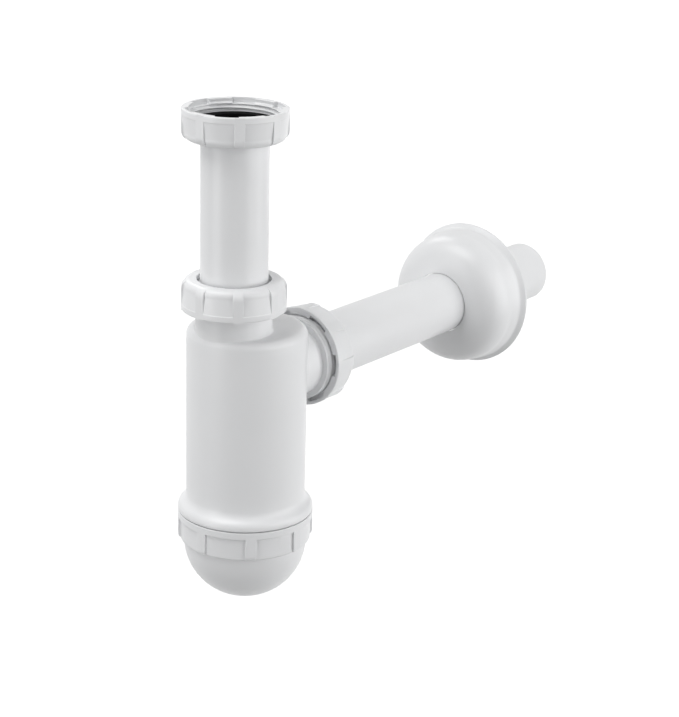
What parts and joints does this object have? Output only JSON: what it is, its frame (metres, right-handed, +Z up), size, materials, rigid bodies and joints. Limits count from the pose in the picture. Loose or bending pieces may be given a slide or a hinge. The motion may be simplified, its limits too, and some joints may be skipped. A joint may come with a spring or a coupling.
{
  "type": "basin bottle trap",
  "caption": "White plastic bottle trap for a wash basin: flanged inlet pipe, round body with a screwed cup, union nuts, outlet pipe and domed wall rosette.",
  "frame": {"origin": "centre of the top face of the inlet washer, on the inlet's axis, where the end of the basin waste lands", "axes": "+Z up along the inlet pipe towards the basin, +Y along the outlet pipe towards the wall"},
  "size_m": [0.0768, 0.2778, 0.2442],
  "materials": {
    "white_plastic": "smooth moulded polypropylene with a soft gloss",
    "black_rubber": "matt"
  },
  "bodies": {
    "inlet_nut": {"inlet_nut": "white_plastic"},
    "inlet_pipe": {"inlet_pipe": "white_plastic", "inlet_washer": "black_rubber"},
    "trap_body": {"trap_body": "white_plastic"},
    "inlet_seal": {"inlet_cone_seal": "white_plastic"},
    "inlet_compression_nut": {"inlet_compression_nut": "white_plastic"},
    "cup_gasket": {"cup_gasket": "black_rubber"},
    "cup": {"cup": "white_plastic"},
    "outlet_seal": {"outlet_cone_seal": "white_plastic"},
    "outlet_compression_nut": {"outlet_compression_nut": "white_plastic"},
    "outlet_pipe": {"outlet_pipe": "white_plastic"},
    "wall_rosette": {"wall_rosette": "white_plastic"}
  },
  "joints": [
    {"name": "inlet_swivel", "type": "hinge", "parent": "inlet_nut", "child": "inlet_pipe", "pos_m": [0, 0, 0], "axis": [0, 0, 1], "continuous": true},
    {"name": "height_slide", "type": "slide", "parent": "inlet_pipe", "child": "trap_body", "axis": [0, 0, -1], "range_m": [-0.012, 0.1]},
    {"name": "inlet_seal_slide", "type": "slide", "parent": "trap_body", "child": "inlet_seal", "axis": [0, 0, 1], "range_m": [0, 0.0058]},
    {"name": "inlet_nut_turn", "type": "hinge", "parent": "inlet_seal", "child": "inlet_compression_nut", "pos_m": [0, 0, -0.0893], "axis": [0, 0, 1], "range_deg": [0, 905]},
    {"name": "cup_gasket_slide", "type": "slide", "parent": "trap_body", "child": "cup_gasket", "axis": [0, 0, -1], "range_m": [0, 0.0105]},
    {"name": "cup_turn", "type": "hinge", "parent": "cup_gasket", "child": "cup", "pos_m": [0, 0.0098, -0.1935], "axis": [0, 0, -1], "range_deg": [0, 1260]},
    {"name": "outlet_seal_slide", "type": "slide", "parent": "trap_body", "child": "outlet_seal", "axis": [0, 1, 0], "range_m": [0, 0.0058]},
    {"name": "outlet_nut_turn", "type": "hinge", "parent": "outlet_seal", "child": "outlet_compression_nut", "pos_m": [0, 0.0498, -0.1259], "axis": [0, 1, 0], "range_deg": [0, 905]},
    {"name": "outlet_pipe_slide", "type": "slide", "parent": "trap_body", "child": "outlet_pipe", "axis": [0, 1, 0], "range_m": [-0.0015, 0.012]},
    {"name": "rosette_slide", "type": "slide", "parent": "outlet_pipe", "child": "wall_rosette", "axis": [0, 1, 0], "range_m": [-0.09, 0.05]}
  ],
  "couplings": [
    {"joint": "inlet_nut_turn", "follows": "inlet_seal_slide", "rad_per_m": 2721.2},
    {"joint": "cup_turn", "follows": "cup_gasket_slide", "rad_per_m": 2094.4},
    {"joint": "outlet_nut_turn", "follows": "outlet_seal_slide", "rad_per_m": 2721.2}
  ]
}
